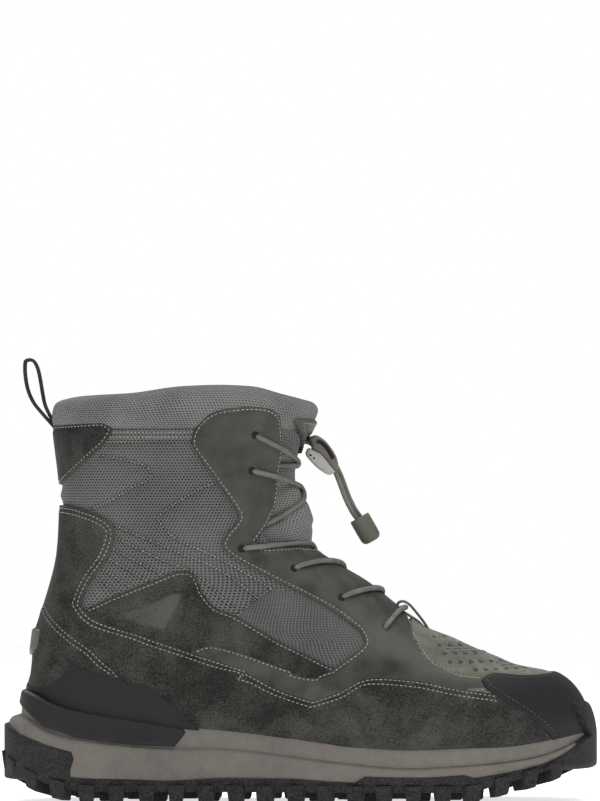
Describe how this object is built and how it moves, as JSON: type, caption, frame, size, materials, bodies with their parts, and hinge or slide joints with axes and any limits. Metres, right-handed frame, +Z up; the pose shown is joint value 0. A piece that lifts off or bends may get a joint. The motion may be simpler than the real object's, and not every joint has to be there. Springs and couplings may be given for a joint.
{
  "type": "sneaker boot",
  "caption": "Mid-height winter sneaker boot for the right foot, with a lugged rubber outsole, stepped foam midsole, fabric bootie and bungee lacing.",
  "frame": {"origin": "middle of the boot's box, on the floor it stands on", "axes": "+X from the heel to the toe, -Y the outer side of the foot, +Z up"},
  "size_m": [0.3032, 0.1098, 0.225],
  "materials": {
    "outsole_rubber": "matte, fine texture",
    "midsole_foam": "matte foam",
    "guard_rubber": "matte",
    "lining": "brushed",
    "bootie_fabric": "knitted",
    "cuff_fabric": "twill",
    "leather": "smooth, satin",
    "nubuck": "embossed nubuck",
    "webbing": "woven webbing",
    "lace": "braided",
    "lock_plastic": "matte",
    "lock_base_plastic": "matte",
    "cord_end_plastic": "matte"
  },
  "bodies": {
    "root": {"outsole": "outsole_rubber", "midsole": "midsole_foam", "heel_band": "guard_rubber", "insole": "lining", "upper": "bootie_fabric", "tongue": "bootie_fabric", "tongue_tab": "leather", "collar_cuff": "cuff_fabric", "vamp": "nubuck", "toe_cap": "guard_rubber", "foxing": "leather", "quarter_lateral": "leather", "quarter_medial": "leather", "accent_lateral": "leather", "accent_medial": "leather", "heel_counter": "leather", "heel_guard": "guard_rubber", "heel_tab": "leather", "heel_badge": "guard_rubber", "lace_cross_1": "lace", "lace_cross_2": "lace", "lace_cross_3": "lace", "lace_cross_4": "lace", "lace_cross_5": "lace", "lace_bar": "lace", "vamp_loop": "nubuck", "pull_loop": "webbing", "lock_shell": "lock_plastic", "lock_base": "lock_base_plastic", "lace_end_a": "lace", "lace_end_b": "lace", "cord_end": "cord_end_plastic"}
  },
  "joints": []
}
